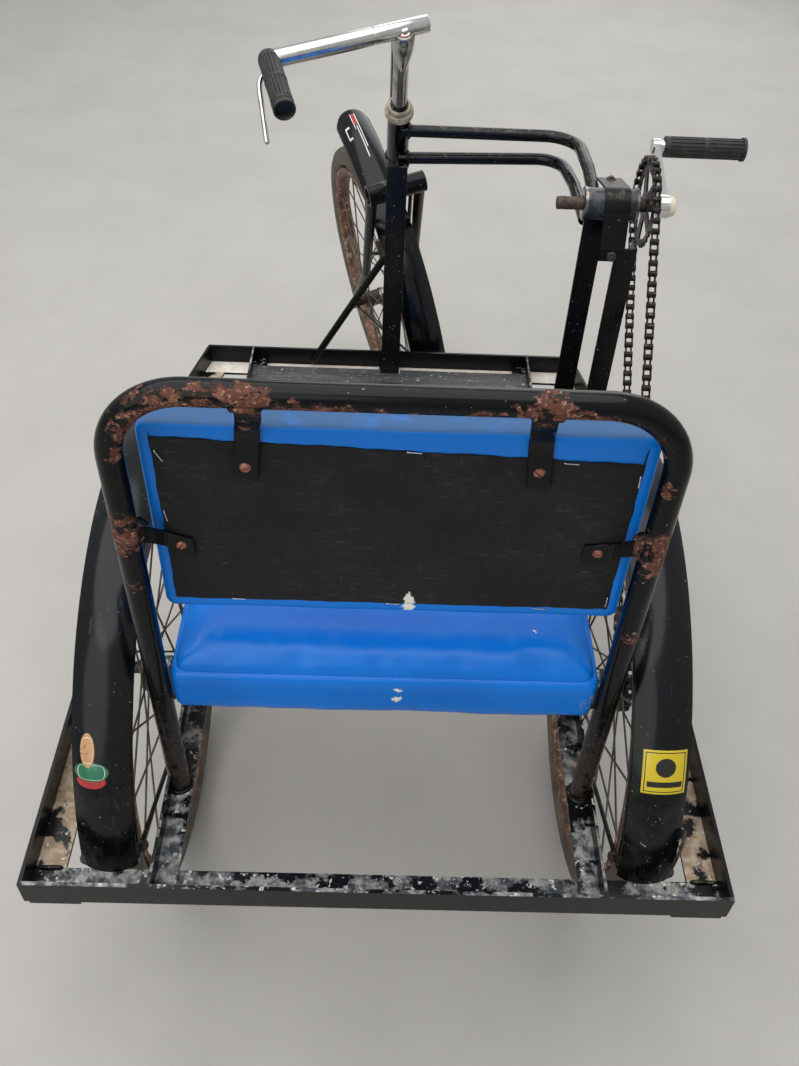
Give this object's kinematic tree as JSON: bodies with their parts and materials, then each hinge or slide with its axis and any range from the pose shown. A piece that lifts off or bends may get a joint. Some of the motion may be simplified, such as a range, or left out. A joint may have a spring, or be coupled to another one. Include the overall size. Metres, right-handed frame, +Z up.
{
  "type": "hand-cranked invalid tricycle",
  "caption": "Hand-cranked invalid tricycle: angle-iron tray frame, spoked wheels, raked steering fork, box seat with tube backrest, chain drive from a hand crank.",
  "frame": {"origin": "middle of the overall box on the floor", "axes": "+Y forward to the steered wheel, +X to the rider's right, +Z up"},
  "size_m": [0.818, 1.5706, 0.9348],
  "materials": {
    "back_cloth": "dusty",
    "blue_vinyl": "satin vinyl",
    "black_frame_paint": "worn gloss",
    "chrome": "dull bright",
    "chain_steel": "oily",
    "grip_rubber": "matte",
    "rusty_steel": "rusty",
    "sheet_steel": "worn",
    "guard_paint": "gloss",
    "tyre_rubber": "dusty",
    "rim_steel": "rust spotted",
    "seat_wood": "raw plywood"
  },
  "bodies": {
    "frame": {"backrest_board": "back_cloth", "backrest_pad": "blue_vinyl", "backrest_tube": "black_frame_paint", "bottom_bracket": "black_frame_paint", "chain": "chain_steel", "cross_bar": "black_frame_paint", "footboard": "sheet_steel", "front_bar": "black_frame_paint", "head_post": "black_frame_paint", "head_tube": "black_frame_paint", "left_axle": "rusty_steel", "left_crank_post": "black_frame_paint", "left_inner_rail": "black_frame_paint", "left_mudguard": "guard_paint", "left_outer_rail": "black_frame_paint", "lower_stay": "black_frame_paint", "rear_bar": "black_frame_paint", "right_axle": "rusty_steel", "right_crank_post": "black_frame_paint", "right_inner_rail": "black_frame_paint", "right_mudguard": "guard_paint", "right_outer_rail": "black_frame_paint", "seat_board": "seat_wood", "seat_cushion": "blue_vinyl", "seat_front_bearer": "black_frame_paint", "seat_rear_bearer": "black_frame_paint", "upper_stay": "black_frame_paint"},
    "steering": {"brake_lever": "chrome", "brake_linkage": "chrome", "fork": "black_frame_paint", "front_axle": "rusty_steel", "front_mudguard": "guard_paint", "handlebar": "chrome", "handlebar_grip": "grip_rubber", "stem": "chrome"},
    "front_wheel": {"front_tyre": "tyre_rubber", "front_wheel_core": "rim_steel"},
    "left_wheel": {"left_tyre": "tyre_rubber", "left_wheel_core": "rim_steel"},
    "right_wheel": {"right_tyre": "tyre_rubber", "right_wheel_core": "rim_steel"},
    "crank": {"crank_spindle": "rusty_steel", "chainring": "chain_steel", "crank_arm": "chrome"},
    "handle": {"crank_grip": "grip_rubber"},
    "freewheel": {"freewheel_cog": "rusty_steel"}
  },
  "joints": [
    {"name": "steering_turn", "type": "hinge", "parent": "frame", "child": "steering", "pos_m": [-0.049, 0.16024, 0.787], "axis": [0, -0.5, 0.866], "range_deg": [-55, 14]},
    {"name": "front_wheel_spin", "type": "hinge", "parent": "steering", "child": "front_wheel", "pos_m": [-0.06817, 0.51082, 0.28289], "axis": [0.9373, 0.3019, 0.1743], "continuous": true},
    {"name": "left_wheel_spin", "type": "hinge", "parent": "frame", "child": "left_wheel", "pos_m": [-0.329, -0.43897, 0.287], "axis": [1, 0, 0], "continuous": true},
    {"name": "right_wheel_spin", "type": "hinge", "parent": "frame", "child": "right_wheel", "pos_m": [0.231, -0.43897, 0.287], "axis": [1, 0, 0], "continuous": true},
    {"name": "crank_spin", "type": "hinge", "parent": "frame", "child": "crank", "pos_m": [0.268, -0.03975, 0.75563], "axis": [1, 0, 0], "continuous": true},
    {"name": "handle_spin", "type": "hinge", "parent": "crank", "child": "handle", "pos_m": [0.303, 0.0564, 0.79255], "axis": [1, 0, 0], "continuous": true},
    {"name": "freewheel_spin", "type": "hinge", "parent": "frame", "child": "freewheel", "pos_m": [0.268, -0.43897, 0.287], "axis": [1, 0, 0], "continuous": true}
  ],
  "couplings": [
    {"joint": "freewheel_spin", "follows": "crank_spin", "ratio": 1.5556}
  ]
}
